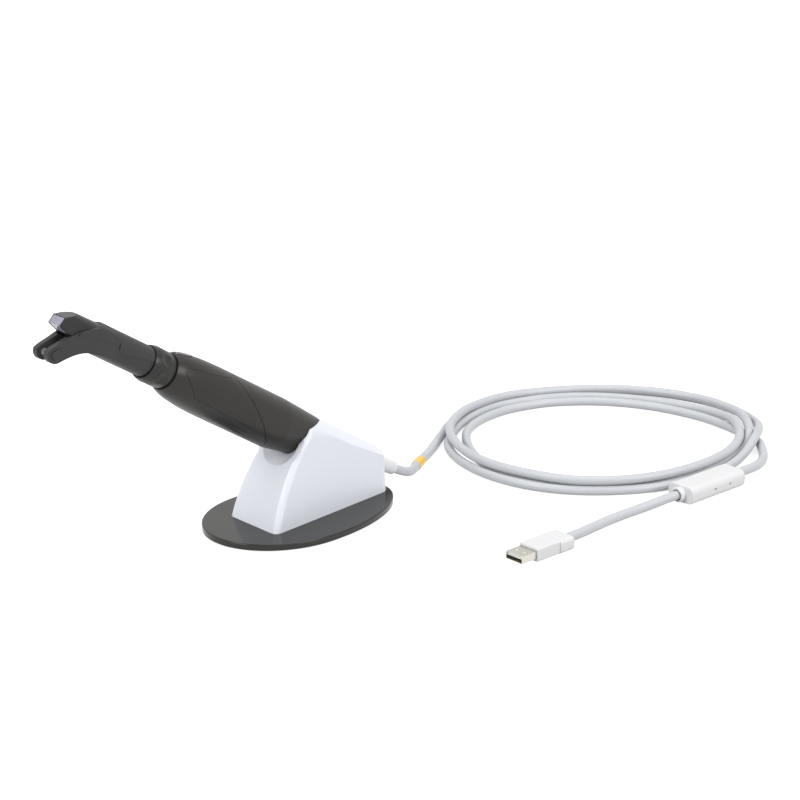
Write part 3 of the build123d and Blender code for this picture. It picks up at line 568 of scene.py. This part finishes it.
# Angle in degrees, distance from the middle and height in mm
FIRST_TURN = [
    (122, 98.6, 2.8), (105, 98.2, 2.8), (85, 97.5, 2.8), (65, 97.8, 2.8), (45, 99.5, 2.8), (25, 102.5, 2.8),
    (5, 105, 2.8), (-12, 105.3, 2.8), (-24, 102.3, 3.6), (-33, 98, 6.6), (-42, 93.8, 8.5), (-50, 90, 8.0),
    (-60, 86.2, 4.6), (-75, 83.3, 2.8), (-95, 82.6, 2.8), (-118, 84.3, 2.8), (-139, 87.5, 2.8),
    (-155, 91.5, 2.8), (-170, 94, 2.8), (-185, 95.6, 2.8), (-200, 96.8, 2.8), (-212, 97.2, 2.8),
    (-222, 95.8, 2.8),
]
SECOND_TURN = [
    (128, 93.8, 2.8), (118, 92.6, 2.8), (105, 92, 2.8), (90, 91, 2.8), (66, 87.4, 2.8), (45, 84.8, 2.8),
    (22, 84.8, 2.8), (0, 87.2, 3.0), (-14, 86.8, 5.4), (-24, 85.8, 8.0), (-34, 84, 8.4), (-50, 81.2, 8.4),
    (-70, 78.6, 8.4), (-91, 77.2, 8.4), (-110, 79.5, 8.4), (-125, 83, 8.4), (-140, 86.3, 8.4),
    (-155, 89, 8.4), (-180, 91.3, 8.3), (-197, 93.1, 8.3), (-215, 94.5, 8.3), (-230, 95.2, 8.3),
]
THIRD_TURN = [
    (118, 94.9, 7.9), (105, 95, 7.5), (85, 94, 7.0), (65, 92.8, 5.5), (45, 94.4, 5.2), (25, 97.0, 5.2),
    (5, 99.4, 5.7), (-14, 97.2, 7.2), (-24, 94.2, 8.3), (-37, 89.8, 8.6), (-43, 88, 6.7), (-49, 86, 4.2),
    (-55, 83.5, 2.9), (-62, 80.5, 2.8), (-73, 77.6, 2.8), (-95, 76.3, 2.8), (-120, 78.3, 2.8),
    (-145, 82, 2.8), (-165, 85.8, 2.8), (-180, 87.5, 2.8), (-192, 86.6, 2.8), (-203, 85.2, 2.8),
    (-214, 84.4, 2.8),
]
LAST_TURN = [
    (136, 84.9, 2.8), (125, 85.6, 2.8), (111, 84.2, 2.8), (96, 82.4, 2.8), (85, 80.3, 2.8), (69, 78.6, 2.8),
    (45, 75.2, 2.8), (20, 74.4, 2.8), (-4, 77.4, 2.8), (-17, 80.8, 2.8), (-28, 84.6, 2.8), (-37, 89.6, 2.8),
]


# %% Turns as points
def turn_points(turn):
    """Points of one turn, each moved out by what a spline of order 3 loses between its neighbours."""
    angles = [math.radians(angle) for angle, _, _ in turn]
    steps = [abs(after - before) for before, after in zip(angles, angles[1:])]
    steps = [steps[0], *steps, steps[-1]]
    points = []
    for index, (_, distance, height) in enumerate(turn):
        reach = distance / (1 - steps[index] * steps[index + 1] / 8)
        x = COIL_MIDDLE[0] + reach * math.cos(angles[index])
        y = COIL_MIDDLE[1] + reach * math.sin(angles[index])
        points.append((x, y, height))
    return points


TURNS = (FIRST_TURN, SECOND_TURN, THIRD_TURN, LAST_TURN)
coil = [point for turn in TURNS for point in turn_points(turn)]
print("coil points", len(coil))


# %% Cord pieces
def route_curve(name, points, resolution):
    """Curve with one open NURBS spline through a route given in millimetres."""
    curve = bpy.data.curves.new(name, "CURVE")
    curve.dimensions = "3D"
    spline = curve.splines.new("NURBS")
    spline.points.add(len(points) - 1)
    for point, (x, y, z) in zip(spline.points, points):
        point.co = (x * MM, y * MM, z * MM, 1.0)
    spline.order_u = 3
    spline.use_endpoint_u = True
    spline.resolution_u = resolution
    return curve


def cord_piece(name, points, radius):
    """Cord as one route curve with a round section."""
    curve = route_curve(name, points, 8)
    curve.splines[0].use_smooth = True
    curve.bevel_depth = radius
    curve.bevel_resolution = 5
    curve.use_fill_caps = True
    piece = bpy.data.objects.new(name, curve)
    scene.collection.objects.link(piece)
    curve.materials.append(finishes["cord_white"])
    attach(piece, "root")
    return piece


def line_of(points):
    """Points read from a route's own spline, as a curve with no section gives them."""
    curve = route_curve("measuring_line", points, 12)
    holder = bpy.data.objects.new("measuring_line", curve)
    mesh = bpy.data.meshes.new_from_object(holder)
    line = [vertex.co.copy() for vertex in mesh.vertices]
    bpy.data.objects.remove(holder)
    bpy.data.curves.remove(curve)
    bpy.data.meshes.remove(mesh)
    return line


def length_of(line):
    """Length of a line of points."""
    return sum((after - before).length for before, after in zip(line, line[1:]))


CAMERA_ROUTE = LEAD + coil + TAIL_LOOP
camera_cord = cord_piece("camera_cord", CAMERA_ROUTE, CORD_D / 2)
plug_cord = cord_piece("plug_cord", PLUG_LEAD, CORD_D / 2)
camera_cord_line = line_of(CAMERA_ROUTE)
plug_cord_line = line_of(PLUG_LEAD)
print("cord lengths", round(length_of(camera_cord_line), 4), round(length_of(plug_cord_line), 4))

# %% [markdown]
# ## The marker on the cord
#
# A short yellow sleeve was pushed over the lead near the stand, with a white sleeve under it that
# shows at both ends. It follows the cord, so it is made from the cord's own line.

# %% Marker
def along(line, start, end, steps):
    """Points on a line between two lengths measured from its first point."""
    marks = [start + (end - start) * step / steps for step in range(steps + 1)]
    found, run, index = [], 0.0, 0
    for mark in marks:
        while index < len(line) - 2 and run + (line[index + 1] - line[index]).length < mark:
            run += (line[index + 1] - line[index]).length
            index += 1
        leg = line[index + 1] - line[index]
        found.append(line[index] + leg.normalized() * (mark - run))
    return found


def tube_on(name, line, profile):
    """Tube round a line, with a list of radii for the line's points and both ends closed."""
    curve = bpy.data.curves.new(name, "CURVE")
    curve.dimensions = "3D"
    spline = curve.splines.new("POLY")
    spline.points.add(len(line) - 1)
    for point, place, radius in zip(spline.points, line, profile):
        point.co = (*place, 1.0)
        point.radius = radius
    spline.use_smooth = True
    curve.bevel_depth = 1.0
    curve.bevel_resolution = 10
    curve.use_fill_caps = True
    piece = bpy.data.objects.new(name, curve)
    scene.collection.objects.link(piece)
    only(piece)
    bpy.ops.object.convert(target="MESH")
    bpy.ops.object.shade_smooth_by_angle(angle=SMOOTH_BELOW)
    return bpy.context.object


def sleeve_profile(radius, steps, rounding):
    """Radii of a sleeve whose two ends round over."""
    inner = [radius] * (steps - 3)
    return [radius - rounding, radius - rounding * 0.3, *inner, radius - rounding * 0.3, radius - rounding]


MARKER_LENGTH = 10.7 * MM
MARKER_R = 3.2 * MM
MARKER_ROUND = 0.12 * MM
UNDER_SLEEVE_R = 2.98 * MM
UNDER_SLEEVE_ROUND = 0.16 * MM
UNDER_SLEEVE_SHOWS = 2.2 * MM
SLEEVE_STEPS = 20
LEAD_POINTS = 60
marker_low, marker_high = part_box("marker_sleeve")
marker_middle = (marker_low + marker_high) / 2
runs = [0.0]
for before, after in zip(camera_cord_line, camera_cord_line[1:]):
    runs.append(runs[-1] + (after - before).length)
nearest = min(
    range(LEAD_POINTS), key=lambda index: (camera_cord_line[index] - marker_middle).length
)
marker_at = runs[nearest]
marker_from = marker_at - MARKER_LENGTH / 2
marker_to = marker_at + MARKER_LENGTH / 2
under_sleeve = tube_on(
    "marker_under_sleeve",
    along(
        camera_cord_line,
        marker_from - UNDER_SLEEVE_SHOWS,
        marker_to + UNDER_SLEEVE_SHOWS,
        SLEEVE_STEPS,
    ),
    sleeve_profile(UNDER_SLEEVE_R, SLEEVE_STEPS, UNDER_SLEEVE_ROUND),
)
under_sleeve.data.materials.append(finishes["cord_white"])
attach(under_sleeve, "root")
marker = tube_on(
    "marker_sleeve_dressed",
    along(camera_cord_line, marker_from, marker_to, SLEEVE_STEPS),
    sleeve_profile(MARKER_R, SLEEVE_STEPS, MARKER_ROUND),
)
hand_over(marker, "marker_sleeve")
print("marker at", round(marker_at, 4), "m along the cord")

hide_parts("cord_lead", "cord_coil", "cord_loop")
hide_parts("cord_plug_lead")

# %% [markdown]
# ## What stays as the CAD has it
#
# The boards, the chassis and the other pieces inside the handle and the box never show, so their
# CAD meshes stay. They still get a finish, because someone may open the model up.

# %% Finishes for the nodes that stay
for node, piece in cad.items():
    for index, slot_material in enumerate(piece.data.materials):
        piece.data.materials[index] = finishes[slot_material.name.split(".")[0]]
print("nodes with a finish", len(cad))
